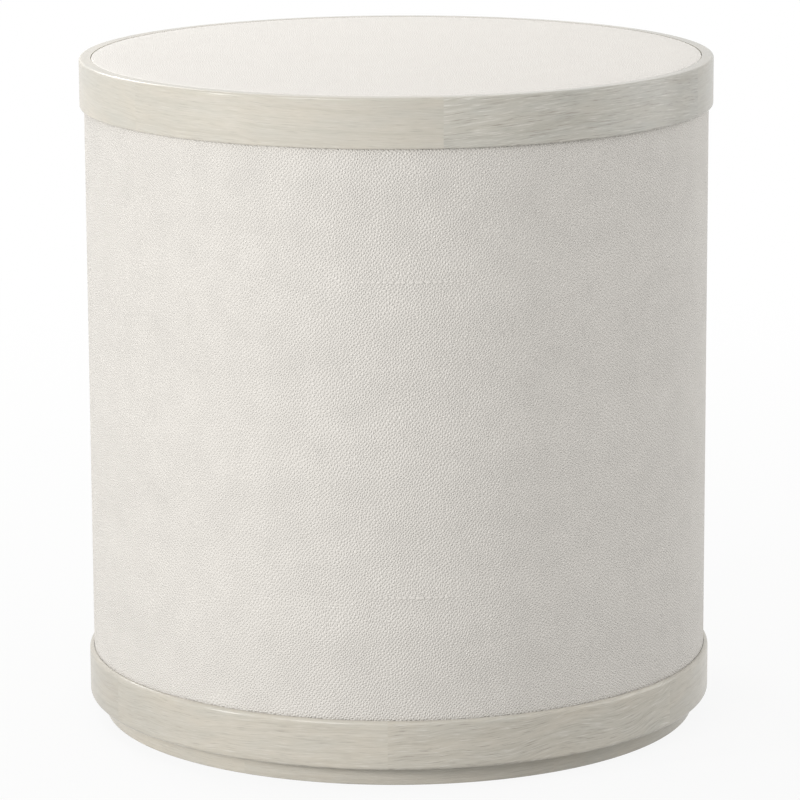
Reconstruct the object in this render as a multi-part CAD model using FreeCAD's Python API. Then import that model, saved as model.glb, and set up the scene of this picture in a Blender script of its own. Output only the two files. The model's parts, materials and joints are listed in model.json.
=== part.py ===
# Drum side table: a leather-covered drum between two splined oak bands, on a recessed oak plinth.
# Millimetres. +Z is up, the origin is on the floor at the drum's axis, and the front faces -Y.
# Angles are degrees about +Z from +X, so the front is at -90 and the leather's seam at +90.

import FreeCAD, Part
import math
import os

# Whole table
table_height = 592.0
drum_radius = 276.0  # outer face of the leather round the drum

# Embossed leather, bonded to the drum and to the top board
leather_thickness = 1.2
leather_glue_line = 0.1
seam_gap = 0.4  # butt seam at the back
seam_angle = 90.0
hem_width = 24.0  # turned under the top board

# Oak bands: each is a ring of solid segments with a lip that hides the leather's cut edge
band_overhang = 4.0
band_height = 43.0
band_wall = 30.0
band_lap = 7.0
lap_clearance = 0.3
band_segment_count = 6
upper_joint_angle = -82.0
lower_joint_angle = -92.0
upper_edge_round = 2.2
upper_underside_round = 1.5
lower_underside_round = 3.0
spline_length = 30.0
spline_width = 16.0
spline_thickness = 5.0
spline_fit = 0.15

# Top panel, let into the upper band
rim_width = 10.4
panel_gap = 0.25
board_thickness = 16.0
board_edge_round = 0.5

# Plinth, with a tongue that centres it in the lower band
plinth_recess = 14.0
plinth_height = 17.0
plinth_wall = 22.0
plinth_segment_count = 6
plinth_joint_angle = -60.0
plinth_edge_round = 1.0
tongue_height = 8.0
tongue_clearance = 0.2
plinth_spline_length = 24.0
plinth_spline_width = 10.0
plinth_spline_thickness = 4.0

# Drum frame of plywood discs, uprights and a bent plywood shell in two halves
shell_thickness = 8.0
bulkhead_thickness = 18.0
bulkhead_fit = 0.1
upright_count = 6
upright_angle = 33.0
upright_width = 40.0
upright_depth = 20.0
notch_clearance = 0.2

# Blocks under the drum, tee nuts and screw-in levellers
leveller_count = 4
leveller_angle = 45.0
leveller_travel = 10.0
block_width = 60.0
block_depth = 50.0
block_clearance = 0.5
tee_flange_diameter = 22.0
tee_flange_thickness = 1.5
tee_barrel_diameter = 10.0
tee_length = 13.0
tee_fit = 0.1
stem_diameter = 8.0
stem_chamfer = 1.0
stem_seat = 5.0  # depth of the stem in its pad
stem_fit = 0.05
stem_hole_clearance = 1.0
collar_sides = 6
collar_flats = 13.0
collar_height = 3.0
pad_diameter = 28.0
pad_height = 7.0
pad_shoulder = 3.0  # height of the cone on the pad
pad_edge_round = 1.5
pad_floor_gap = 0.8  # the table stands on its plinth until a leveller is wound out

# Dust cover under the drum
cover_thickness = 4.0
cover_clearance = 0.5
cover_hole_margin = 2.0

# Countersunk wood screws, plain shanks without thread
frame_screw_diameter = 5.0
small_screw_diameter = 4.0
screw_head_share = 2.0  # head across, as a share of the shank
screw_tip_share = 1.5
screw_fit = 0.05
plinth_screw_recess = 0.5
screw_spread_shares = (1 / 3, 2 / 3)  # of a segment, from its first joint
board_bite_share = 0.7
band_bite_share = 0.75
plinth_bite_share = 0.6
block_bite_share = 0.7
cover_bite_share = 0.4
upright_bite = 30.0
block_screw_shares = (0.24, 0.33)  # outwards and sideways, of the block
cover_screw_shares = (-0.3, 0.33)

cut_overrun = 5.0  # how far cutting tools reach past a face
same_point = 1e-6  # closer than this, two corners of an outline are one

# Radii that follow
band_radius = drum_radius + band_overhang
band_inner_radius = band_radius - band_wall
lip_inner_radius = drum_radius + lap_clearance
lower_lip_round = band_radius - lip_inner_radius
rim_inner_radius = band_radius - rim_width
panel_radius = rim_inner_radius - panel_gap
skin_inner_radius = panel_radius - leather_thickness
board_radius = skin_inner_radius - leather_glue_line
shell_outer_radius = drum_radius - leather_thickness - leather_glue_line
shell_inner_radius = shell_outer_radius - shell_thickness
bulkhead_radius = shell_inner_radius - bulkhead_fit
upright_radius = bulkhead_radius - upright_depth / 2
plinth_radius = band_radius - plinth_recess
plinth_inner_radius = plinth_radius - plinth_wall
tongue_radius = band_inner_radius - tongue_clearance
cover_radius = plinth_inner_radius - cover_clearance
block_reach = math.sqrt((plinth_inner_radius - block_clearance) ** 2 - (block_width / 2) ** 2)
block_radius = block_reach - block_depth / 2

# Heights that follow
lower_band_top = plinth_height + band_height
upper_band_bottom = table_height - band_height
drum_bottom = lower_band_top - band_lap
drum_top = upper_band_bottom + band_lap
lower_bulkhead_top = drum_bottom + bulkhead_thickness
upper_bulkhead_bottom = drum_top - bulkhead_thickness
former_bottom = (lower_bulkhead_top + upper_bulkhead_bottom - bulkhead_thickness) / 2
board_top = table_height - leather_thickness
board_bottom = board_top - board_thickness
ledge_height = board_bottom - leather_thickness
block_height = drum_bottom - plinth_height
cover_bottom = plinth_height - cover_thickness
pad_top = pad_floor_gap + pad_height
stem_bottom = pad_top - stem_seat
stem_top = plinth_height + tee_length + leveller_travel

# Screw circles and lengths that follow
band_screw_radius = (band_inner_radius + bulkhead_radius) / 2
plinth_screw_radius = (band_inner_radius + plinth_radius) / 2
top_screw_length = board_bottom + board_thickness * board_bite_share - upper_bulkhead_bottom
band_screw_length = bulkhead_thickness + block_height * band_bite_share
plinth_screw_length = plinth_height + block_height * plinth_bite_share
upright_screw_length = bulkhead_thickness + upright_bite
block_screw_length = bulkhead_thickness + block_height * block_bite_share
cover_screw_length = cover_thickness + block_height * cover_bite_share

origin = FreeCAD.Vector(0, 0, 0)
up = FreeCAD.Vector(0, 0, 1)
sideways_axis = FreeCAD.Vector(1, 0, 0)


def outline(corners):
    """Closed wire in the XZ plane through corners of (radius, height, rounding)."""
    points = [FreeCAD.Vector(radius, 0, height) for radius, height, _ in corners]
    bends = []
    for index, (_, _, rounding) in enumerate(corners):
        here = points[index]
        if not rounding:
            bends.append((here, None, here))
            continue
        back = (points[index - 1] - here).normalize()
        ahead = (points[(index + 1) % len(points)] - here).normalize()
        half_angle = back.getAngle(ahead) / 2
        reach = rounding / math.tan(half_angle)
        inward = (back + ahead).normalize()
        middle = here + inward * (rounding / math.sin(half_angle) - rounding)
        bends.append((here + back * reach, middle, here + ahead * reach))
    edges = []
    for index, (start, middle, end) in enumerate(bends):
        if middle:
            edges.append(Part.Arc(start, middle, end).toShape())
        following = bends[(index + 1) % len(bends)][0]
        if not end.isEqual(following, same_point):
            edges.append(Part.LineSegment(end, following).toShape())
    return Part.Wire(edges)


def turned_solid(corners, sweep=360.0, start=0.0):
    """Solid of revolution about Z from corners of (radius, height, rounding)."""
    solid = Part.Face(outline(corners)).revolve(origin, up, sweep)
    return solid.rotated(origin, up, start)


def disc(radius, bottom, top):
    return Part.makeCylinder(radius, top - bottom, FreeCAD.Vector(0, 0, bottom))


def place(shape, angle, radius, height, aside=0.0, downward=False):
    """Copy of a shape modelled at the origin, carried out to a radius, an angle and a height."""
    copy = shape.rotated(origin, sideways_axis, 180) if downward else shape.copy()
    copy.translate(FreeCAD.Vector(radius, aside, height))
    return copy.rotated(origin, up, angle)


def angles_round(first, count):
    return [first + 360 / count * index for index in range(count)]


def segment_angles(first_joint, count, shares):
    """Angles at the given shares of every segment of a ring."""
    joints = angles_round(first_joint, count)
    return [joint + 360 / count * share for joint in joints for share in shares]


def centred_box(radial, tangential, tall):
    corner = FreeCAD.Vector(-radial / 2, -tangential / 2, -tall / 2)
    return Part.makeBox(radial, tangential, tall, corner)


def splines_and_slots(width, length, thickness, radius, height, joint_angles):
    """Loose tongues across the joints of a ring, and the slots that take them."""
    tongue = centred_box(width, length, thickness)
    slot = centred_box(width + 2 * spline_fit, length + 2 * spline_fit, thickness + 2 * spline_fit)
    tongues = [place(tongue, angle, radius, height) for angle in joint_angles]
    slots = [place(slot, angle, radius, height) for angle in joint_angles]
    return tongues, slots


def screw_form(diameter, length, growth=0.0):
    """Countersunk screw that points up the Z axis from its head's face at the origin."""
    shank = diameter / 2 + growth
    head = diameter * screw_head_share / 2 + growth
    shoulder = length + growth - diameter * screw_tip_share
    return turned_solid(
        [(0, 0, 0), (head, 0, 0), (shank, head - shank, 0), (shank, shoulder, 0), (0, length + growth, 0)]
    )


def screws_and_holes(diameter, length, places):
    """Screws at (angle, radius, height, aside, downward) places, and the tools that bore their holes."""
    screw = screw_form(diameter, length)
    tool = screw_form(diameter, length, screw_fit)
    head_clearance = disc(diameter * screw_head_share / 2 + screw_fit, -cut_overrun, 0)
    tool = tool.fuse(head_clearance)
    screws = [place(screw, *where) for where in places]
    holes = [place(tool, *where) for where in places]
    return screws, holes


def ring_segments(corners, count, first_joint, tools):
    """A ring's equal lengths, cut square at the joints and then worked with the tools."""
    blanks = [turned_solid(corners, 360 / count, start) for start in angles_round(first_joint, count)]
    return [blank.cut(tools) for blank in blanks]


def upper_band(tools):
    """Oak ring with a rebate for the top panel and a lip over the leather."""
    corners = [
        (band_inner_radius, drum_top, 0),
        (lip_inner_radius, drum_top, 0),
        (lip_inner_radius, upper_band_bottom, 0),
        (band_radius, upper_band_bottom, upper_underside_round),
        (band_radius, table_height, upper_edge_round),
        (rim_inner_radius, table_height, 0),
        (rim_inner_radius, ledge_height, 0),
        (band_inner_radius, ledge_height, 0),
    ]
    return ring_segments(corners, band_segment_count, upper_joint_angle, tools)


def lower_band(tools):
    """Oak ring whose lip is rounded over its whole thickness where it meets the leather."""
    corners = [
        (band_inner_radius, plinth_height, 0),
        (band_radius, plinth_height, lower_underside_round),
        (band_radius, lower_band_top, lower_lip_round),
        (lip_inner_radius, lower_band_top, 0),
        (lip_inner_radius, drum_bottom, 0),
        (band_inner_radius, drum_bottom, 0),
    ]
    return ring_segments(corners, band_segment_count, lower_joint_angle, tools)


def plinth(tools):
    """Recessed oak ring with a tongue inside the lower band."""
    tongue_top = plinth_height + tongue_height
    corners = [
        (plinth_inner_radius, 0, 0),
        (plinth_radius, 0, plinth_edge_round),
        (plinth_radius, plinth_height, 0),
        (tongue_radius, plinth_height, 0),
        (tongue_radius, tongue_top, 0),
        (plinth_inner_radius, tongue_top, 0),
    ]
    return ring_segments(corners, plinth_segment_count, plinth_joint_angle, tools)


def top_board():
    corners = [
        (0, board_bottom, 0),
        (board_radius, board_bottom, 0),
        (board_radius, board_top, board_edge_round),
        (0, board_top, 0),
    ]
    return turned_solid(corners)


def top_leather():
    """Skin over the top board, round its edge and turned under as a hem."""
    hem_radius = panel_radius - hem_width
    corners = [
        (0, board_top, 0),
        (skin_inner_radius, board_top, board_edge_round),
        (skin_inner_radius, board_bottom, 0),
        (hem_radius, board_bottom, 0),
        (hem_radius, ledge_height, 0),
        (panel_radius, ledge_height, leather_thickness),
        (panel_radius, table_height, board_edge_round + leather_thickness),
        (0, table_height, 0),
    ]
    return turned_solid(corners)


def drum_sheet(inner, outer, sweep, start):
    """Bent sheet of the drum's height."""
    corners = [(inner, drum_bottom, 0), (outer, drum_bottom, 0), (outer, drum_top, 0), (inner, drum_top, 0)]
    return turned_solid(corners, sweep, start)


def drum_leather():
    seam_sweep = math.degrees(seam_gap / drum_radius)
    inner = drum_radius - leather_thickness
    return drum_sheet(inner, drum_radius, 360 - seam_sweep, seam_angle + seam_sweep / 2)


def upright():
    """Batten whose outer face is planed to the shell's curve, made at angle 0."""
    height = upper_bulkhead_bottom - lower_bulkhead_top
    batten = centred_box(upright_depth, upright_width, height)
    batten.translate(FreeCAD.Vector(upright_radius, 0, lower_bulkhead_top + height / 2))
    return batten.common(disc(bulkhead_radius, lower_bulkhead_top, upper_bulkhead_bottom))


def middle_former():
    """Disc notched for the uprights that pass it."""
    former_top = former_bottom + bulkhead_thickness
    depth = upright_depth + 2 * notch_clearance
    width = upright_width + 2 * notch_clearance
    notch = centred_box(depth, width, bulkhead_thickness + cut_overrun)
    middle = (former_bottom + former_top) / 2
    turns = angles_round(upright_angle, upright_count)
    notches = [place(notch, turn, upright_radius, middle) for turn in turns]
    return disc(bulkhead_radius, former_bottom, former_top).cut(notches)


def tee_nut(growth=0.0, bore=0.0):
    """Tee nut with its flange's face at the origin and its barrel pointing up."""
    flange = tee_flange_diameter / 2 + growth
    barrel = tee_barrel_diameter / 2 + growth
    corners = [
        (bore, 0, 0),
        (flange, 0, 0),
        (flange, tee_flange_thickness, 0),
        (barrel, tee_flange_thickness, 0),
        (barrel, tee_length, 0),
        (bore, tee_length, 0),
    ]
    return turned_solid(corners)


def leveller_block():
    """Hardwood block, made at the origin with its underside at the tee nut's face."""
    block = centred_box(block_depth, block_width, block_height)
    block.translate(FreeCAD.Vector(0, 0, block_height / 2))
    stem_hole_top = stem_top - plinth_height + stem_hole_clearance
    stem_hole = disc(stem_diameter / 2 + stem_hole_clearance, 0, stem_hole_top)
    return block.cut([tee_nut(tee_fit), stem_hole])


def leveller_stem():
    """Threaded stem with a hexagon collar, on the Z axis at the height it has when wound home."""
    collar_corner = collar_flats / 2 / math.cos(math.pi / collar_sides)
    turns = [math.radians(angle) for angle in angles_round(0.0, collar_sides)]
    corners = [(collar_corner * math.cos(turn), collar_corner * math.sin(turn)) for turn in turns]
    hexagon = [FreeCAD.Vector(x, y, pad_top) for x, y in corners]
    collar = Part.Face(Part.makePolygon(hexagon + hexagon[:1])).extrude(up * collar_height)
    radius = stem_diameter / 2
    stem = turned_solid(
        [
            (0, stem_bottom, 0),
            (radius, stem_bottom, 0),
            (radius, stem_top - stem_chamfer, 0),
            (radius - stem_chamfer, stem_top, 0),
            (0, stem_top, 0),
        ]
    )
    return stem.fuse(collar).removeSplitter()


def leveller_pad():
    """Round foot moulded on to the stem, coned towards the collar."""
    rim = pad_diameter / 2
    socket = stem_diameter / 2 + stem_fit
    corners = [
        (0, pad_floor_gap, 0),
        (rim, pad_floor_gap, pad_edge_round),
        (rim, pad_top - pad_shoulder, 0),
        (collar_flats / 2, pad_top, 0),
        (socket, pad_top, 0),
        (socket, stem_bottom, 0),
        (0, stem_bottom, 0),
    ]
    return turned_solid(corners)


def dust_cover():
    """Hardboard disc inside the plinth, open at each tee nut."""
    hole_radius = tee_flange_diameter / 2 + cover_hole_margin
    hole = disc(hole_radius, -cut_overrun, cover_thickness + cut_overrun)
    turns = angles_round(leveller_angle, leveller_count)
    holes = [place(hole, turn, block_radius, cover_bottom) for turn in turns]
    return disc(cover_radius, cover_bottom, plinth_height).cut(holes)


def upright_fixings(height, downward):
    """One screw through a bulkhead into the end of each upright, and their holes."""
    turns = angles_round(upright_angle, upright_count)
    places = [(turn, upright_radius, height, 0.0, downward) for turn in turns]
    return screws_and_holes(small_screw_diameter, upright_screw_length, places)


def block_screw_places(shares, height, downward):
    """Two places on each block, at the given shares of its depth and width."""
    radius = block_radius + block_depth * shares[0]
    aside = block_width * shares[1]
    return [
        (angle, radius, height, side * aside, downward)
        for angle in angles_round(leveller_angle, leveller_count)
        for side in (-1, 1)
    ]


def save(name, solids):
    shape = Part.makeCompound(solids) if len(solids) > 1 else solids[0]
    shape.exportStep(f"parts/{name}.step")


def save_numbered(name, solids):
    for index, solid in enumerate(solids):
        save(f"{name}_{index + 1}", [solid])


def build_upper_half():
    """Upper band, top panel and upper bulkhead, with the screws that hold them together."""
    joints = angles_round(upper_joint_angle, band_segment_count)
    middle_radius = band_radius - band_wall / 2
    middle_height = (drum_top + ledge_height) / 2
    tongues, slots = splines_and_slots(
        spline_width, spline_length, spline_thickness, middle_radius, middle_height, joints
    )
    turns = segment_angles(upper_joint_angle, band_segment_count, screw_spread_shares)
    top_places = [(turn, band_screw_radius, upper_bulkhead_bottom) for turn in turns]
    screws, holes = screws_and_holes(frame_screw_diameter, top_screw_length, top_places)
    upright_screws, upright_holes = upright_fixings(drum_top, True)
    save_numbered("upper_band_segment", upper_band(slots + holes))
    save("upper_band_splines", tongues)
    save("top_board", [top_board().cut(holes)])
    save("top_leather", [top_leather().cut(holes)])
    save("top_screws", screws)
    bulkhead = disc(bulkhead_radius, upper_bulkhead_bottom, drum_top)
    save("upper_bulkhead", [bulkhead.cut(holes + upright_holes)])
    return upright_screws, upright_holes


def build_lower_half():
    """Lower band, plinth, lower bulkhead, leveller blocks and dust cover, with their screws."""
    joints = angles_round(lower_joint_angle, band_segment_count)
    middle_radius = band_radius - band_wall / 2
    middle_height = (plinth_height + drum_bottom) / 2
    tongues, slots = splines_and_slots(
        spline_width, spline_length, spline_thickness, middle_radius, middle_height, joints
    )
    turns = segment_angles(lower_joint_angle, band_segment_count, screw_spread_shares)
    band_places = [(turn, band_screw_radius, lower_bulkhead_top, 0.0, True) for turn in turns]
    band_screws, band_holes = screws_and_holes(frame_screw_diameter, band_screw_length, band_places)
    plinth_turns = segment_angles(plinth_joint_angle, plinth_segment_count, screw_spread_shares)
    plinth_places = [(turn, plinth_screw_radius, plinth_screw_recess) for turn in plinth_turns]
    plinth_screws, plinth_holes = screws_and_holes(small_screw_diameter, plinth_screw_length, plinth_places)
    upright_screws, upright_holes = upright_fixings(drum_bottom, False)
    block_places = block_screw_places(block_screw_shares, lower_bulkhead_top, True)
    block_screws, block_holes = screws_and_holes(small_screw_diameter, block_screw_length, block_places)
    cover_places = block_screw_places(cover_screw_shares, cover_bottom, False)
    cover_screws, cover_holes = screws_and_holes(small_screw_diameter, cover_screw_length, cover_places)
    plinth_joints = angles_round(plinth_joint_angle, plinth_segment_count)
    plinth_tongues, plinth_slots = splines_and_slots(
        plinth_spline_width,
        plinth_spline_length,
        plinth_spline_thickness,
        (plinth_inner_radius + plinth_radius) / 2,
        plinth_height / 2,
        plinth_joints,
    )
    save_numbered("lower_band_segment", lower_band(slots + band_holes + plinth_holes))
    save("lower_band_splines", tongues)
    save("lower_band_screws", band_screws)
    save_numbered("plinth_segment", plinth(plinth_slots + plinth_holes))
    save("plinth_splines", plinth_tongues)
    save("plinth_screws", plinth_screws)
    bulkhead = disc(bulkhead_radius, drum_bottom, lower_bulkhead_top)
    save("lower_bulkhead", [bulkhead.cut(band_holes + upright_holes + block_holes)])
    leveller_turns = angles_round(leveller_angle, leveller_count)
    blocks = [place(leveller_block(), turn, block_radius, plinth_height) for turn in leveller_turns]
    save_numbered("leveller_block", [block.cut(block_holes + cover_holes) for block in blocks])
    save("block_screws", block_screws)
    save("dust_cover", [dust_cover().cut(cover_holes)])
    save("dust_cover_screws", cover_screws)
    return upright_screws, upright_holes


def build_drum(upright_screws, upright_holes):
    """Uprights, middle former, shell halves and the leather round them."""
    batten = upright()
    turns = angles_round(upright_angle, upright_count)
    save_numbered("upright", [batten.rotated(origin, up, turn).cut(upright_holes) for turn in turns])
    save("upright_screws", upright_screws)
    save("middle_former", [middle_former()])
    save("drum_shell_back", [drum_sheet(shell_inner_radius, shell_outer_radius, 180, upright_angle)])
    save("drum_shell_front", [drum_sheet(shell_inner_radius, shell_outer_radius, 180, upright_angle + 180)])
    save("drum_leather", [drum_leather()])


def build_levellers():
    turns = angles_round(leveller_angle, leveller_count)
    nut = tee_nut(bore=stem_diameter / 2 + stem_fit)
    save("tee_nuts", [place(nut, turn, block_radius, plinth_height) for turn in turns])
    save_numbered("leveller_stem", [place(leveller_stem(), turn, block_radius, 0.0) for turn in turns])
    save_numbered("leveller_pad", [place(leveller_pad(), turn, block_radius, 0.0) for turn in turns])


os.makedirs("parts", exist_ok=True)
top_upright_screws, top_upright_holes = build_upper_half()
foot_upright_screws, foot_upright_holes = build_lower_half()
build_drum(top_upright_screws + foot_upright_screws, top_upright_holes + foot_upright_holes)
build_levellers()
print(f"drum side table {2 * band_radius:.0f} across, {table_height:.0f} high")
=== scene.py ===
import bmesh
import bpy
import json
import math
import random
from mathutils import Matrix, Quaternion, Vector


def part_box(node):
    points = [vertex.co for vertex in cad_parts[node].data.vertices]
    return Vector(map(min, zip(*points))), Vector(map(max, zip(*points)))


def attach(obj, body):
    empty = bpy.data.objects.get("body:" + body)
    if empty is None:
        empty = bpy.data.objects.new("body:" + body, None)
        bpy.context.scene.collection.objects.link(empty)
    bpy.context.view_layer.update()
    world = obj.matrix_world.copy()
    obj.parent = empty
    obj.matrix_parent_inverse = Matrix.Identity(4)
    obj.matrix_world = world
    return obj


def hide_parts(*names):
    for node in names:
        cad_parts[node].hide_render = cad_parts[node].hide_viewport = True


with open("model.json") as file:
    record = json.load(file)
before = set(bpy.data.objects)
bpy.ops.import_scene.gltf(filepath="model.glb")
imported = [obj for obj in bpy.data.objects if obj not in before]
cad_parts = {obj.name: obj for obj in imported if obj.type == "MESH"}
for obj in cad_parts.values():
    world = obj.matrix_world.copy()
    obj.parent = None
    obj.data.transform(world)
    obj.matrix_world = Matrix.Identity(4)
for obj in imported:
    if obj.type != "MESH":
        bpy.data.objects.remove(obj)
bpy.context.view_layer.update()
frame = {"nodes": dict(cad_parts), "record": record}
nodes = frame["nodes"]
scene = bpy.context.scene
mm = 0.001
drumRadius = -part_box("drum_leather")[0].y  # the front of the drum, away from the seam
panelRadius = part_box("top_leather")[1].x
finishIndex = 1.5  # refractive index of the finish on hide and wood
noiseMiddle = 0.5  # what the noise texture averages


def toLinear(hexColour):
    shares = [int(hexColour[i:i + 2], 16) / 255 for i in (1, 3, 5)]
    return [s / 12.92 if s <= 0.04045 else ((s + 0.055) / 1.055) ** 2.4 for s in shares] + [1]


# A socket goes by its name or its number. A colour mix has its share at 0, its colours at 6 and 7, and its
# result at 2.
def addNode(tree, kind, links=None, **settings):
    node = tree.nodes.new("ShaderNode" + kind)
    for name, value in settings.items():
        setattr(node, name, value)
    for socket, value in (links or {}).items():
        if isinstance(value, bpy.types.NodeSocket):
            tree.links.new(value, node.inputs[socket])
        else:
            node.inputs[socket].default_value = value
    return node


def newMaterial(name):
    material = bpy.data.materials.new(name)
    material.use_nodes = True
    material.node_tree.nodes.clear()
    return material, material.node_tree


# Embossed leather: a pigmented hide pressed with a shagreen plate. The eye gets a satin field of round beads
# of nearly one colour, told apart by light and shade, with a faint row of larger oval beads along each spine.
# The colour is painted a little darker low in the valleys and on the lower parts of beads and ovals, as
# painted shade.
leather = {
    "dome": "#D1CDC7",
    # painted shade: the valleys between the beads are drawn a little darker than the domes
    "paintedValleyShade": "#CCC8C2",
    # painted light: a paler colour on the top skin's edge, against the shade in the groove at the rim
    "grooveLight": "#F0EDE7",
    "grooveLightWidth": 1.6,  # mm of the top skin's edge that is painted paler, as painted light in the groove
    "beadPitch": 2.55,  # mm from bead to bead
    "beadScatter": 0.7,
    "beadFlank": 0.5,  # pitches from a bead's foot to its full height
    "relief": 0.35,  # mm from valley to dome
    "drumRelief": 0.7,  # mm; on the drum it is drawn deeper to show
    "rowTilt": 38.0,  # degrees
    "wander": 2.5,  # mm that the rows of beads stray
    "wanderReach": 32.0,  # mm
    "toneSpread": 0.15,  # share of a bead's paleness that differs from bead to bead
    "spineRepeat": (433.5, 270.0),  # mm along the hide and across it
    "spineStart": (14.0, 167.0),  # mm from the front line and from the floor
    "spineBead": (5.0, 3.6),  # mm, the largest ovals
    "spineScatter": 0.5,
    "spineLength": 110.0,  # mm
    "spineTone": 0.5,
    "spineSwell": 0.08,  # share by which the beads grow along a spine and midway to the next
    "ovalFlank": (1.1, 0.55),  # half ovals from the middle to the foot and to the full height
    "ovalClear": (0.6, 0.9),  # half ovals from the middle to where small beads start and are whole
    "roughDome": 0.58,
    "roughValley": 0.62,
}


def embossedLeather(name, wrapped):
    material, tree = newMaterial(name)
    place = addNode(tree, "TexCoord").outputs["Object"]
    axes = addNode(tree, "SeparateXYZ", {0: place}).outputs
    if wrapped:  # unroll the drum, so that the pattern's own break falls on the seam at the back
        frontward = addNode(tree, "Math", {0: axes["Y"], 1: -1}, operation="MULTIPLY").outputs[0]
        turn = addNode(tree, "Math", {0: axes["X"], 1: frontward}, operation="ARCTAN2").outputs[0]
        along = addNode(tree, "Math", {0: turn, 1: drumRadius}, operation="MULTIPLY").outputs[0]
        across = axes["Z"]
    else:
        along, across = axes["X"], axes["Y"]
    hide = addNode(tree, "CombineXYZ", {0: along, 1: across}).outputs[0]

    # where the hide is from the nearest spine: down its length, and aside from it
    fromSpine = []
    for axis, start, repeat in zip((along, across), leather["spineStart"], leather["spineRepeat"]):
        fromStart = addNode(tree, "Math", {0: axis, 1: start * mm}, operation="SUBTRACT").outputs[0]
        half = repeat * mm / 2
        wrapNode = addNode(tree, "Math", {0: fromStart, 1: half, 2: -half}, operation="WRAP")
        fromSpine.append(wrapNode.outputs[0])
    down, aside = fromSpine

    # small beads: in rows that stray a little, and larger along the spines
    waves = 4 * math.pi / (leather["spineRepeat"][1] * mm)  # two whole waves from one spine to the next
    wave = addNode(tree, "Math", {0: aside, 1: waves}, operation="MULTIPLY").outputs[0]
    swell = addNode(tree, "Math", {0: wave}, operation="SINE").outputs[0]
    swelled = addNode(tree, "Math", {0: swell, 1: -leather["spineSwell"] / waves, 2: across},
                      operation="MULTIPLY_ADD").outputs[0]
    pressed = addNode(tree, "CombineXYZ", {0: along, 1: swelled}).outputs[0]
    strayScale = 1 / (leather["wanderReach"] * mm)
    stray = addNode(tree, "TexNoise", {"Vector": hide, "Scale": strayScale, "Detail": 0},
                    noise_dimensions="2D").outputs["Color"]
    centred = addNode(tree, "VectorMath", {0: stray, 1: [noiseMiddle] * 3}, operation="SUBTRACT").outputs[0]
    strayWidth = 2 * leather["wander"] * mm
    shift = addNode(tree, "VectorMath", {0: centred, "Scale": strayWidth}, operation="SCALE").outputs[0]
    strayed = addNode(tree, "VectorMath", {0: pressed, 1: shift}, operation="ADD").outputs[0]
    rowTurn = (0, 0, math.radians(leather["rowTilt"]))
    tilted = addNode(tree, "Mapping", {"Vector": strayed, "Rotation": rowTurn}).outputs[0]
    lattice = {"Vector": tilted, "Scale": 1 / (leather["beadPitch"] * mm),
               "Randomness": leather["beadScatter"]}
    beads = addNode(tree, "TexVoronoi", lattice, voronoi_dimensions="2D", feature="F1")
    valleys = addNode(tree, "TexVoronoi", lattice, voronoi_dimensions="2D", feature="DISTANCE_TO_EDGE")
    beadTone = addNode(tree, "SeparateXYZ", {0: beads.outputs["Color"]}).outputs["X"]

    # spine: one row of ovals that shrink towards its two ends
    ovalLength, ovalHeight = (size * mm for size in leather["spineBead"])
    ovals = addNode(tree, "TexVoronoi", {"W": along, "Scale": 1 / ovalLength,
                                         "Randomness": leather["spineScatter"]},
                    voronoi_dimensions="1D", feature="F1")
    lengthwise = addNode(tree, "Math", {0: ovals.outputs["Distance"], 1: 2}, operation="MULTIPLY").outputs[0]
    sideways = addNode(tree, "Math", {0: aside, 1: 2 / ovalHeight}, operation="MULTIPLY").outputs[0]
    perHalfSpine = 2 / (leather["spineLength"] * mm)
    ends = addNode(tree, "Math", {0: down, 1: perHalfSpine}, operation="MULTIPLY").outputs[0]
    ovalPlace = addNode(tree, "CombineXYZ", {0: lengthwise, 1: sideways, 2: ends}).outputs[0]
    ovalReach = addNode(tree, "VectorMath", {0: ovalPlace}, operation="LENGTH").outputs["Value"]
    foot, full = leather["ovalFlank"]
    ovalDome = addNode(tree, "MapRange", {"Value": ovalReach, "From Min": foot, "From Max": full},
                       interpolation_type="SMOOTHSTEP").outputs[0]
    cleared, whole = leather["ovalClear"]
    outsideOval = addNode(tree, "MapRange", {"Value": ovalReach, "From Min": cleared, "From Max": whole},
                          interpolation_type="SMOOTHSTEP").outputs[0]

    beadDome = addNode(tree, "MapRange", {"Value": valleys.outputs["Distance"], "From Min": 0,
                                          "From Max": leather["beadFlank"]},
                       interpolation_type="SMOOTHSTEP").outputs[0]
    smallDome = addNode(tree, "Math", {0: beadDome, 1: outsideOval}, operation="MULTIPLY").outputs[0]
    dome = addNode(tree, "Math", {0: smallDome, 1: ovalDome}, operation="MAXIMUM").outputs[0]
    paleness = addNode(tree, "MapRange", {"Value": beadTone, "To Min": 1 - leather["toneSpread"],
                                          "To Max": 1}).outputs[0]
    spineTone = addNode(tree, "Math", {0: ovalDome, 1: leather["spineTone"]}, operation="MULTIPLY").outputs[0]
    beadPale = addNode(tree, "Math", {0: smallDome, 1: paleness}, operation="MULTIPLY").outputs[0]
    pale = addNode(tree, "Math", {0: beadPale, 1: spineTone}, operation="MAXIMUM").outputs[0]
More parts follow.
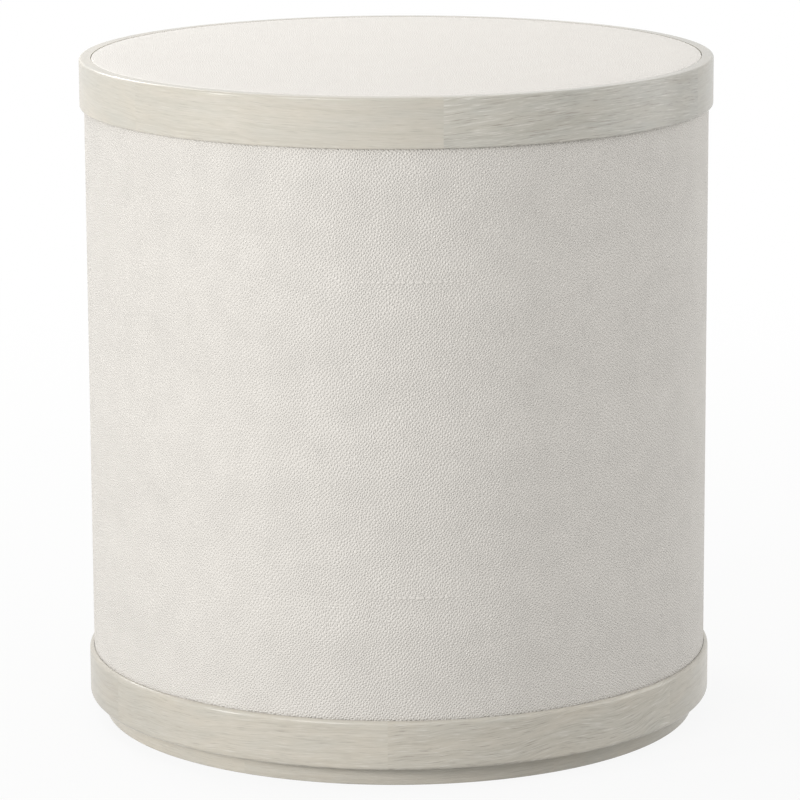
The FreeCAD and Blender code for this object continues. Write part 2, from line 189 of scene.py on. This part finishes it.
    # painted shade: the colour follows each bead's height, darker low down in the valleys
    colour = addNode(tree, "Mix", {0: pale, 6: toLinear(leather["paintedValleyShade"]), 7: toLinear(leather["dome"])},
                     data_type="RGBA").outputs[2]
    if not wrapped:  # the skin's edge is painted paler: painted light that lifts the shade in the groove at the rim
        edge = addNode(tree, "VectorMath", {0: hide}, operation="LENGTH").outputs["Value"]
        rollStart = panelRadius - leather["grooveLightWidth"] * mm
        stretched = addNode(tree, "MapRange", {"Value": edge, "From Min": rollStart,
                                               "From Max": panelRadius}).outputs[0]
        colour = addNode(tree, "Mix", {0: stretched, 6: colour, 7: toLinear(leather["grooveLight"])},
                         data_type="RGBA").outputs[2]
    rough = addNode(tree, "MapRange", {"Value": dome, "To Min": leather["roughValley"],
                                       "To Max": leather["roughDome"]}).outputs[0]
    relief = leather["drumRelief" if wrapped else "relief"]
    bump = addNode(tree, "Bump", {"Height": dome, "Distance": relief * mm}).outputs[0]
    shader = addNode(tree, "BsdfPrincipled", {"Base Color": colour, "Roughness": rough, "Normal": bump,
                                              "IOR": finishIndex})
    addNode(tree, "OutputMaterial", {"Surface": shader.outputs[0]})
    return material


# Limed oak: brushed oak with white wax rubbed into its pores under a matt lacquer. The eye gets a pale greige
# board with soft tone bands along the grain, and short fine pores, some filled white and some open and dark.
oak = {
    "cool": "#ABAAA3",
    "warm": "#BBB3A5",
    "ring": "#9F998D",
    "lime": "#C5C2BB",
    "pore": "#918B83",
    "boards": 6,  # in each ring
    "slopes": (-8, 8),  # degrees, for a board that isn't in the list below
    "bends": (3, 14),  # mm, likewise
    "depths": (0, 50),  # of the noise, so that no two boards are cut alike
    "ringWidth": 3.6,  # mm
    "ringLength": 160.0,  # mm
    "ringFrom": (0.45, 0.75),  # noise at which a ring starts to show and is full
    "ringShare": 0.4,
    "poreWidth": 0.75,  # mm; real pores are 0.3, drawn this coarse to show
    "poreLength": 18.0,  # mm
    "openFrom": (0.44, 0.26),  # noise at which an open pore starts to show and is full
    "limedFrom": (0.56, 0.74),  # the same for a filled one
    "poreShare": 0.75,
    "poreDepth": 0.08,  # mm
    "patch": (70.0, 24.0),  # mm along the grain and across it
    "patchDetail": 3,
    "lineDetail": 2,
    "swirl": 70.0,  # mm over which the grain bends
    "swirlDetail": 1,
    "fineness": 0.6,  # roughness of the figure's noise
    "rough": 0.6,
    "roughSpread": (-0.08, 0.12),
    "sheen": 0.25,  # specular level of the bare wood
    "lacquer": 0.6,
    "lacquerRough": 0.2,
}
# How each board in front was sawn: the slope of its grain and how much that slope turns from end to end, in
# degrees, how far the grain strays in mm, its warmth, how strongly its pores show, and a brightness at either
# end. That brightness is partly the board's own tone and partly painted light and shade, fitted to how the
# lamps fall: on the plinth it paints the key's light on the left and the band's shadow at the front and
# right.
oakFigures = {
    "upper_band_segment_1": {"slope": -1, "bow": 11, "bend": 2, "warmth": 0.25, "pores": 1.6,
                             "toneAndPaintedLight": (1.1, 0.92)},
    "upper_band_segment_2": {"slope": -3, "bend": 3, "warmth": 0.3, "pores": 0.8, "toneAndPaintedLight": (0.92, 0.92)},
    "upper_band_segment_5": {"slope": 3, "bend": 3, "pores": 0.6, "toneAndPaintedLight": (1.1, 1.06)},
    "upper_band_segment_6": {"slope": 2, "bend": 4, "pores": 0.7, "toneAndPaintedLight": (1.05, 1.05)},
    "lower_band_segment_1": {"slope": -4, "bend": 10, "warmth": 0.55, "pores": 1.3, "toneAndPaintedLight": (1.03, 1.06)},
    "lower_band_segment_2": {"slope": -2, "bend": 4, "pores": 0.9, "toneAndPaintedLight": (1, 0.9)},
    "lower_band_segment_5": {"slope": -1, "bend": 4, "warmth": 0.6, "pores": 0.6, "toneAndPaintedLight": (0.86, 0.88)},
    "lower_band_segment_6": {"slope": -2, "bend": 5, "warmth": 0.6, "pores": 0.8, "toneAndPaintedLight": (0.92, 1.09)},
    # painted light and shade: the plinth's boards are brighter where the low key lights them and darker where
    # the band above shades them
    "plinth_segment_4": {"slope": 1, "bend": 3, "warmth": 0.6, "pores": 0.6},
    "plinth_segment_5": {"slope": 1, "bend": 3, "warmth": 0.6, "pores": 0.6, "toneAndPaintedLight": (1.08, 1.08)},
    "plinth_segment_6": {"slope": -1, "bend": 3, "warmth": 0.55, "pores": 0.7, "toneAndPaintedLight": (1.09, 0.98)},
    "plinth_segment_1": {"slope": -1, "bend": 3, "pores": 0.7, "toneAndPaintedLight": (0.98, 0.98)},
}
sawing = random.Random(5)


def limedOak(node):
    name = node.name
    middle = sum((v.co for v in node.data.vertices), Vector()) / len(node.data.vertices)
    turn = math.atan2(middle.y, middle.x)
    bandRadius = max(v.co.xy.length for v in node.data.vertices)
    halfLength = bandRadius * math.pi / oak["boards"]
    sawn = {"slope": sawing.uniform(*oak["slopes"]), "bow": 0, "bend": sawing.uniform(*oak["bends"]),
            "warmth": 0.5, "pores": 1, "toneAndPaintedLight": (1, 1)}
    sawn.update(oakFigures.get(name, {}))
    depth = sawing.uniform(*oak["depths"])
    material, tree = newMaterial("limed_oak_" + name)
    place = addNode(tree, "TexCoord").outputs["Object"]
    board = addNode(tree, "Mapping", {"Vector": place, "Rotation": (0, 0, -turn)}).outputs[0]  # x faces out

    # unroll the band: along it, and up its face and on over its edge
    axes = addNode(tree, "SeparateXYZ", {0: board}).outputs
    swing = addNode(tree, "Math", {0: axes["Y"], 1: axes["X"]}, operation="ARCTAN2").outputs[0]
    along = addNode(tree, "Math", {0: swing, 1: bandRadius}, operation="MULTIPLY").outputs[0]
    flat = addNode(tree, "CombineXYZ", {0: axes["X"], 1: axes["Y"]}).outputs[0]
    outward = addNode(tree, "VectorMath", {0: flat}, operation="LENGTH").outputs["Value"]
    upward = addNode(tree, "Math", {0: axes["Z"], 1: outward}, operation="SUBTRACT").outputs[0]
    squared = addNode(tree, "Math", {0: along, 1: along}, operation="MULTIPLY").outputs[0]
    bow = math.tan(math.radians(sawn["bow"])) / (4 * halfLength)
    bowed = addNode(tree, "Math", {0: squared, 1: bow, 2: upward}, operation="MULTIPLY_ADD").outputs[0]
    strip = addNode(tree, "CombineXYZ", {0: along, 1: bowed}).outputs[0]
    sloped = addNode(tree, "Mapping", {"Vector": strip, "Rotation": (0, 0, math.radians(sawn["slope"])),
                                       "Location": (0, 0, depth)}).outputs[0]
    swirl = addNode(tree, "TexNoise", {"Vector": sloped, "Scale": 1 / (oak["swirl"] * mm),
                                       "Detail": oak["swirlDetail"]}).outputs[0]
    bent = addNode(tree, "Math", {0: swirl, 1: noiseMiddle}, operation="SUBTRACT").outputs[0]
    aside = addNode(tree, "Math", {0: bent, 1: 2 * sawn["bend"] * mm}, operation="MULTIPLY").outputs[0]
    shift = addNode(tree, "CombineXYZ", {1: aside}).outputs[0]
    grain = addNode(tree, "VectorMath", {0: sloped, 1: shift}, operation="ADD").outputs[0]

    def figure(length, width, detail):
        stretch = (1 / (length * mm), 1 / (width * mm), 1)
        stretched = addNode(tree, "VectorMath", {0: grain, 1: stretch}, operation="MULTIPLY").outputs[0]
        return addNode(tree, "TexNoise", {"Vector": stretched, "Scale": 1, "Detail": detail,
                                          "Roughness": oak["fineness"]}).outputs[0]

    patch = figure(*oak["patch"], oak["patchDetail"])
    ring = figure(oak["ringLength"], oak["ringWidth"], oak["lineDetail"])
    pores = figure(oak["poreLength"], oak["poreWidth"], oak["lineDetail"])
    warmer = sawn["warmth"] - noiseMiddle
    warm = addNode(tree, "Math", {0: patch, 1: warmer}, operation="ADD", use_clamp=True).outputs[0]
    layers = [(warm, "warm")]
    poreShare = oak["poreShare"] * sawn["pores"]
    for noise, limits, most, tint in ((ring, "ringFrom", oak["ringShare"], "ring"),
                                      (pores, "openFrom", poreShare, "pore"),
                                      (pores, "limedFrom", poreShare, "lime")):
        starts, isFull = oak[limits]
        share = addNode(tree, "MapRange", {"Value": noise, "From Min": starts, "From Max": isFull,
                                           "To Max": most}).outputs[0]
        layers.append((share, tint))
    colour = toLinear(oak["cool"])
    for share, tint in layers:
        colour = addNode(tree, "Mix", {0: share, 6: colour, 7: toLinear(oak[tint])},
                         data_type="RGBA").outputs[2]
    # brightness along the board: partly its own tone and partly painted light and shade
    toneAndPaintedLight = addNode(tree, "MapRange", {"Value": along, "From Min": -halfLength, "From Max": halfLength,
                                      "To Min": sawn["toneAndPaintedLight"][0], "To Max": sawn["toneAndPaintedLight"][1]}).outputs[0]
    colour = addNode(tree, "VectorMath", {0: colour, "Scale": toneAndPaintedLight}, operation="SCALE").outputs[0]
    smoothest, roughest = (oak["rough"] + spread for spread in oak["roughSpread"])
    rough = addNode(tree, "MapRange", {"Value": pores, "To Min": smoothest, "To Max": roughest}).outputs[0]
    bump = addNode(tree, "Bump", {"Height": pores, "Distance": oak["poreDepth"] * mm}).outputs[0]
    shader = addNode(tree, "BsdfPrincipled", {"Base Color": colour, "Roughness": rough, "Normal": bump,
                                              "IOR": finishIndex, "Specular IOR Level": oak["sheen"],
                                              "Coat Weight": oak["lacquer"],
                                              "Coat Roughness": oak["lacquerRough"]})
    addNode(tree, "OutputMaterial", {"Surface": shader.outputs[0]})
    return material


oakNodes = [n for n in nodes if "_segment_" in n]
for name in oakNodes:
    nodes[name].data.materials[0] = limedOak(nodes[name])
print("limed oak on", len(oakNodes), "segments")


# Birch plywood: peeled veneers glued crosswise and sanded. The eye gets a pale face with fine fibres, and
# edges striped by the turned veneers.
birch = {
    "pale": "#E3CDA6",
    "dark": "#C9A878",
    "ply": 1.4,  # mm
    "fibreWidth": 0.9,  # mm
    "fibreLength": 25.0,  # mm
    "rough": 0.6,
}
# Pine: planed softwood. The eye gets a warm straw board with darker late-wood lines along it.
pine = {
    "pale": "#E6CB9C",
    "dark": "#C79A62",
    "ringSpacing": 4.0,  # mm
    "fibreWidth": 1.2,  # mm
    "fibreLength": 40.0,  # mm
    "rough": 0.55,
}
# Beech: planed hardwood. The eye gets an even pinkish tan with short darker flecks.
beech = {
    "pale": "#D9B48E",
    "dark": "#B58761",
    "ringSpacing": 6.0,  # mm
    "fibreWidth": 0.8,  # mm
    "fibreLength": 5.0,  # mm
    "rough": 0.5,
}
# What the bare woods have in common
bareGrain = {
    "fibreDetail": 3,
    "fineness": 0.6,  # roughness of the fibres' noise
    "fibreShare": 0.7,
    "fibreDepth": 0.06,  # mm
    "lineShare": 0.45,
    "ringDraw": 0.05,  # how fast a ring changes along the grain, against across it
    "waveSpacing": 0.314,  # m between the wave texture's lines at scale 1
    "waveBend": {"Distortion": 3, "Detail": 2, "Detail Scale": 0.4},
    "roughSpread": 0.1,
}


def bareWood(name, look, grain, plies=None):
    # grain is the axis that the fibres run along
    # plies is "height" or "radius", where the sheet is layered that way
    material, tree = newMaterial(name)
    place = addNode(tree, "TexCoord").outputs["Object"]
    across, along = (1 / (look[k] * mm) for k in ("fibreWidth", "fibreLength"))
    stretch = [along if axis == grain else across for axis in "XYZ"]
    fibrePlace = addNode(tree, "VectorMath", {0: place, 1: stretch}, operation="MULTIPLY").outputs[0]
    fibre = addNode(tree, "TexNoise", {"Vector": fibrePlace, "Scale": 1, "Detail": bareGrain["fibreDetail"],
                                       "Roughness": bareGrain["fineness"]}).outputs[0]
    axes = addNode(tree, "SeparateXYZ", {0: place}).outputs
    if plies:
        flat = addNode(tree, "CombineXYZ", {0: axes["X"], 1: axes["Y"]}).outputs[0]
        radius = addNode(tree, "VectorMath", {0: flat}, operation="LENGTH").outputs["Value"]
        depth = axes["Z"] if plies == "height" else radius
        layers = addNode(tree, "Math", {0: depth, 1: look["ply"] * mm}, operation="PINGPONG").outputs[0]
        line = addNode(tree, "MapRange", {"Value": layers, "From Max": look["ply"] * mm}).outputs[0]
    else:
        ringStretch = [bareGrain["ringDraw"] if axis == grain else 1 for axis in "XYZ"]
        ringPlace = addNode(tree, "VectorMath", {0: place, 1: ringStretch}, operation="MULTIPLY").outputs[0]
        ringScale = bareGrain["waveSpacing"] / (look["ringSpacing"] * mm)
        wave = addNode(tree, "TexWave", {"Vector": ringPlace, "Scale": ringScale, **bareGrain["waveBend"]},
                       wave_type="BANDS", bands_direction="DIAGONAL", wave_profile="SAW")
        line = wave.outputs["Fac"]
    lines = addNode(tree, "Math", {0: line, 1: bareGrain["lineShare"]}, operation="MULTIPLY").outputs[0]
    shade = addNode(tree, "Math", {0: fibre, 1: bareGrain["fibreShare"], 2: lines},
                    operation="MULTIPLY_ADD").outputs[0]
    colour = addNode(tree, "Mix", {0: shade, 6: toLinear(look["pale"]), 7: toLinear(look["dark"])},
                     data_type="RGBA").outputs[2]
    spread = bareGrain["roughSpread"]
    rough = addNode(tree, "MapRange", {"Value": fibre, "To Min": look["rough"] - spread,
                                       "To Max": look["rough"] + spread}).outputs[0]
    bump = addNode(tree, "Bump", {"Height": fibre, "Distance": bareGrain["fibreDepth"] * mm}).outputs[0]
    shader = addNode(tree, "BsdfPrincipled", {"Base Color": colour, "Roughness": rough, "Normal": bump,
                                              "IOR": finishIndex})
    addNode(tree, "OutputMaterial", {"Surface": shader.outputs[0]})
    return material


# Hardboard: hot-pressed wood fibre. The eye gets a smooth brown sheet flecked with lighter and darker fibres.
hardboard = {"pale": "#8A6849", "dark": "#5E4330", "fleck": 2.2, "rough": 0.5, "grit": 0.05}
# Zinc-plated steel: turned or cold-headed, then barrel plated. The eye gets bright grey metal, a bit cloudy.
zinc = {"pale": "#C9CCCE", "dark": "#A9ADB1", "fleck": 1.6, "rough": 0.34, "grit": 0.01}
# Nylon: moulded foot pads. The eye gets near-black plastic with a fine spark-eroded grain.
nylon = {"pale": "#2C2C2D", "dark": "#1C1C1D", "fleck": 0.6, "rough": 0.55, "grit": 0.04}
# What these three have in common; their flecks and grit are in mm
fleckNoise = {"detail": 4, "fineness": 0.65, "from": (0.35, 0.65), "roughSpread": 0.1}


def fleckedSheet(name, look, metal=0.0):
    material, tree = newMaterial(name)
    place = addNode(tree, "TexCoord").outputs["Object"]
    fleck = addNode(tree, "TexNoise", {"Vector": place, "Scale": 1 / (look["fleck"] * mm),
                                       "Detail": fleckNoise["detail"],
                                       "Roughness": fleckNoise["fineness"]}).outputs[0]
    darkest, palest = fleckNoise["from"]
    share = addNode(tree, "MapRange", {"Value": fleck, "From Min": darkest, "From Max": palest}).outputs[0]
    colour = addNode(tree, "Mix", {0: share, 6: toLinear(look["dark"]), 7: toLinear(look["pale"])},
                     data_type="RGBA").outputs[2]
    spread = fleckNoise["roughSpread"]
    rough = addNode(tree, "MapRange", {"Value": share, "To Min": look["rough"] + spread,
                                       "To Max": look["rough"] - spread}).outputs[0]
    bump = addNode(tree, "Bump", {"Height": fleck, "Distance": look["grit"] * mm}).outputs[0]
    shader = addNode(tree, "BsdfPrincipled", {"Base Color": colour, "Roughness": rough, "Normal": bump,
                                              "Metallic": metal})
    addNode(tree, "OutputMaterial", {"Surface": shader.outputs[0]})
    return material


finishes = {
    "birch_plywood": bareWood("birch_plywood", birch, "X", "height"),
    "pine": bareWood("pine", pine, "Z"),
    "beech": bareWood("beech", beech, "X"),
    "hardboard": fleckedSheet("hardboard", hardboard),
    "zinc_plated_steel": fleckedSheet("zinc_plated_steel", zinc, 1.0),
    "nylon": fleckedSheet("nylon", nylon),
}
bentPlywood = bareWood("bent_birch_plywood", birch, "Z", "radius")
for part in frame["record"]["subparts"]:
    finish = finishes.get(part["material_slot"])
    if part["node"].startswith("drum_shell"):
        finish = bentPlywood
    if finish:
        nodes[part["node"]].data.materials[0] = finish
print("other finishes:", ", ".join(finishes))

# Texture map of a skin: the face that is seen, and above it a narrow strip for what is glued or hidden. The
# drum's face is laid out as two halves, one above the other, and the top's face as a disc.
mapLayout = {"halfRise": 0.48, "halfHeight": 0.47, "discRadius": 0.475, "strip": 0.96, "stripHeight": 0.04}
weldDistance = 1e-7  # m


def turnedSkin(name, columns, closed, mapPoint):
    # columns are closed outlines of the skin's section
    # mapPoint places a corner of the face at (c, p) on the texture map
    mesh = bmesh.new()
    flatMap = mesh.loops.layers.uv.new("OFBake")
    rings = [[mesh.verts.new(p) for p in column] for column in columns]
    count, points = len(rings), len(rings[0])
    for c in range(count if closed else count - 1):
        for p in range(points):
            corners = [(c, p), (c + 1, p), (c + 1, p + 1), (c, p + 1)]
            face = mesh.faces.new([rings[i % count][j % points] for i, j in corners])
            face.smooth = True
            for loop, corner in zip(face.loops, corners):
                loop[flatMap].uv = mapPoint(*corner, c, p)
    if not closed:
        for c, ring in ((0, rings[0]), (count - 1, rings[-1][::-1])):
            face = mesh.faces.new(ring)
            for p, loop in enumerate(face.loops):
                loop[flatMap].uv = mapPoint(c, p if c == 0 else points - 1 - p, c, points)
    bmesh.ops.remove_doubles(mesh, verts=mesh.verts, dist=weldDistance)
    bmesh.ops.recalc_face_normals(mesh, faces=mesh.faces)
    data = bpy.data.meshes.new(name)
    mesh.to_mesh(data)
    mesh.free()
    piece = bpy.data.objects.new(name, data)
    scene.collection.objects.link(piece)
    return piece


# Leather round the drum: one sheet whose two edges meet in a butt seam at the back
drumSheet = {
    "thickness": 1.2,  # mm
    "columns": 240,
    "rows": 48,
    "seamGap": 0.4,  # mm
    "edgeRoll": 0.8,  # mm over which each cut edge rolls down
    "rollShares": (0, 0.12, 0.3, 0.6, 1),
}


def leatherRoundDrum():
    low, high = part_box("drum_leather")
    inner = drumRadius - drumSheet["thickness"] * mm
    roll = drumSheet["edgeRoll"] * mm
    gap = drumSheet["seamGap"] * mm
    whole = 2 * math.pi * drumRadius - gap
    shares = drumSheet["rollShares"]
    step = (whole - 2 * roll) / drumSheet["columns"]
    lengths = [s * roll for s in shares]
    lengths += [roll + step * i for i in range(1, drumSheet["columns"])]
    lengths += [whole - s * roll for s in reversed(shares)]
    heights = [low.z + (high.z - low.z) * i / drumSheet["rows"] for i in range(drumSheet["rows"] + 1)]
    columns = []
    for length in lengths:
        angle = math.pi / 2 + (length + gap / 2) / drumRadius
        inFromEdge = min(length, whole - length, roll)
        outer = drumRadius - roll + math.sqrt(roll ** 2 - (roll - inFromEdge) ** 2)
        section = [(outer, z) for z in heights] + [(inner, z) for z in reversed(heights)]
        columns.append([(r * math.cos(angle), r * math.sin(angle), z) for r, z in section])
    rows = len(heights)

    def mapPoint(column, point, faceColumn, facePoint):
        share = lengths[column] / whole
        if facePoint >= rows - 1:  # the glued back and the hidden edges
            return share, mapLayout["strip"] + mapLayout["stripHeight"] * (point - rows + 1) / (rows + 1)
        half = int(faceColumn >= len(lengths) // 2)
        rise = mapLayout["halfHeight"] * point / (rows - 1)
        return 2 * share - half, mapLayout["halfRise"] * half + rise

    piece = turnedSkin("drum_leather_sheet", columns, False, mapPoint)
    piece.data.materials.append(embossedLeather("embossed_leather_wrapped", True))
    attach(piece, "carcass")
    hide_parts("drum_leather")
    return piece


# Leather on the top: a round skin rolled over the board's edge and turned under
topSkin = {
    "thickness": 1.2,  # mm
    "hem": 24.0,  # mm turned under the board
    "edgeRound": 1.7,  # mm
    "roundSteps": 6,
    "ringStep": 20.0,  # mm between rings on the flat
    "columns": 192,
}


def leatherOnTop():
    low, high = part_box("top_leather")
    skin, edge, hem = (topSkin[k] * mm for k in ("thickness", "edgeRound", "hem"))
    quarter = [math.pi / 2 * i / topSkin["roundSteps"] for i in range(topSkin["roundSteps"] + 1)]
    flatRadius = panelRadius - edge
    boardRadius = panelRadius - skin
    hemRadius = panelRadius - hem
    rings = int(flatRadius / (topSkin["ringStep"] * mm))
    section = [(flatRadius * i / rings, high.z) for i in range(rings)]
    section += [(flatRadius + edge * math.sin(a), high.z - edge + edge * math.cos(a)) for a in quarter]
    section += [(boardRadius + skin * math.cos(a), low.z + skin - skin * math.sin(a)) for a in quarter]
    section += [(hemRadius, low.z), (hemRadius, low.z + skin), (boardRadius, low.z + skin)]
    section += [(boardRadius, high.z - edge), (flatRadius, high.z - skin), (0, high.z - skin)]
    turns = [2 * math.pi * i / topSkin["columns"] for i in range(topSkin["columns"])]
    columns = [[(r * math.cos(t), r * math.sin(t), z) for r, z in section] for t in turns]
    discRadius = mapLayout["discRadius"]

    def mapPoint(column, point, faceColumn, facePoint):
        if facePoint >= rings + topSkin["roundSteps"]:  # the side, the hem and the glued back
            rise = mapLayout["stripHeight"] * (point - rings) / len(section)
            return column / topSkin["columns"], mapLayout["strip"] + rise
        x, y, z = columns[column % len(columns)][point]
        return [discRadius + discRadius * place / panelRadius for place in (x, y)]

    piece = turnedSkin("top_leather_skin", columns, True, mapPoint)
    piece.data.materials.append(embossedLeather("embossed_leather_flat", False))
    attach(piece, "carcass")
    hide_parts("top_leather")
    return piece


skins = [leatherRoundDrum(), leatherOnTop()]
print("leather:", [(s.name, len(s.data.polygons)) for s in skins])


def seenByCamera(tree):
    # 1 for what the camera sees, straight, mirrored or through glass, and 0 for what only lights the table
    rays = addNode(tree, "LightPath").outputs
    seen = addNode(tree, "Math", {0: rays["Is Camera Ray"], 1: rays["Is Glossy Ray"]},
                   operation="ADD").outputs[0]
    return addNode(tree, "Math", {0: seen, 1: rays["Is Transmission Ray"]}, operation="ADD",
                   use_clamp=True).outputs[0]


# Pale floor that stays white to the eye and keeps a soft shadow. It is open under the plinth, so that the
# underside has light when it is looked at from below.
floorLook = {
    "reach": 30.0,  # m
    "opening": 262.0,  # mm, the radius of the part that the plinth stands over
    "drop": 0.2,  # mm that it lies clear of the plinth, so that the two don't share a plane
    "sides": 96,
    "colour": "#C6C6C4",
    "glowNear": 0.9,
    "near": 0.4,  # m from the middle, where the glow starts to rise
    "far": 2.2,  # m, where it is full
}
plane = bmesh.new()
inner, outer = (bmesh.ops.create_circle(plane, segments=floorLook["sides"], radius=radius)["verts"]
                for radius in (floorLook["opening"] * mm, floorLook["reach"]))
for i in range(floorLook["sides"]):
    plane.faces.new((inner[i - 1], outer[i - 1], outer[i], inner[i]))
floorMesh = bpy.data.meshes.new("floor")
plane.to_mesh(floorMesh)
plane.free()
floor = bpy.data.objects.new("floor", floorMesh)
floor.location.z = -floorLook["drop"] * mm
scene.collection.objects.link(floor)
material, tree = newMaterial("painted_floor")
shown = seenByCamera(tree)
place = addNode(tree, "TexCoord").outputs["Object"]
away = addNode(tree, "VectorMath", {0: place}, operation="LENGTH").outputs["Value"]
share = addNode(tree, "MapRange", {"Value": away, "From Min": floorLook["near"], "From Max": floorLook["far"],
                                   "To Min": floorLook["glowNear"]},
                interpolation_type="SMOOTHSTEP").outputs[0]
glow = addNode(tree, "Math", {0: shown, 1: share}, operation="MULTIPLY").outputs[0]
paint = addNode(tree, "BsdfDiffuse", {"Color": toLinear(floorLook["colour"])}).outputs[0]
white = addNode(tree, "Emission", {"Color": (1, 1, 1, 1), "Strength": 1}).outputs[0]
lit = addNode(tree, "MixShader", {0: glow, 1: paint, 2: white}).outputs[0]
under = addNode(tree, "NewGeometry").outputs["Backfacing"]
clear = addNode(tree, "BsdfTransparent").outputs[0]
surface = addNode(tree, "MixShader", {0: under, 1: lit, 2: clear}).outputs[0]  # from below, it isn't there
addNode(tree, "OutputMaterial", {"Surface": surface})
floorMesh.materials.append(material)

# Studio light: a small low key at the left, soft lamps in front and at the right, a weak one above, and one
# behind at the left that draws the bright line on the rim
room = {"ambient": 0.73, "colour": "#FFFFFF"}
lamps = {
    "key": {"place": (-2.66, -1.4, 0.8), "size": 0.4, "power": 30},
    "front": {"place": (-1.5, -2.65, 1.3), "size": 1.2, "power": 36},
    "above": {"place": (-0.2, 0.8, 2.6), "size": 1.6, "power": 11},
    "behind": {"place": (-1.4, 1.9, 2.15), "size": 1.1, "power": 36},
    "right": {"place": (2.6, 0.2, 1.0), "size": 1.8, "power": 22},
}
aim = Vector((0, 0, 0.32))
for name, lamp in lamps.items():
    light = bpy.data.lights.new(name, "AREA")
    light.size = lamp["size"]
    light.energy = lamp["power"]
    holder = bpy.data.objects.new("lamp_" + name, light)
    holder.location = lamp["place"]
    holder.rotation_euler = (aim - holder.location).to_track_quat("-Z", "Y").to_euler()
    scene.collection.objects.link(holder)
world = bpy.data.worlds.new("studio")
world.use_nodes = True
tree = world.node_tree
tree.nodes.clear()
shown = seenByCamera(tree)
roomLight = {"Color": toLinear(room["colour"]), "Strength": room["ambient"]}
ambient = addNode(tree, "Background", roomLight).outputs[0]
backdrop = addNode(tree, "Background", {"Color": (1, 1, 1, 1), "Strength": 1}).outputs[0]
sky = addNode(tree, "MixShader", {0: shown, 1: ambient, 2: backdrop}).outputs[0]
addNode(tree, "OutputWorld", {"Surface": sky})
scene.world = world
scene.view_settings.view_transform = "Standard"

# Camera at the photograph's angle
shot = {
    "distance": 3.9,  # m
    "elevation": 12.0,  # degrees
    "target": (0.002, 0, 0.279),  # m
    "focal": 4340,  # pixels
    "image": 800,  # pixels
    "sensor": 36,  # mm
    "roll": -0.26,  # degrees
}
elevation = math.radians(shot["elevation"])
back = Vector((0, -math.cos(elevation), math.sin(elevation)))
camera = bpy.data.cameras.new("camera")
camera.sensor_width = shot["sensor"]
camera.lens = shot["focal"] / shot["image"] * shot["sensor"]
cameraHolder = bpy.data.objects.new("camera", camera)
cameraHolder.location = Vector(shot["target"]) + back * shot["distance"]
cameraHolder.rotation_mode = "QUATERNION"
level = (-back).to_track_quat("-Z", "Y")
cameraHolder.rotation_quaternion = level @ Quaternion((0, 0, 1), math.radians(shot["roll"]))
scene.collection.objects.link(cameraHolder)
scene.camera = cameraHolder
print("stage, lamps and camera set")
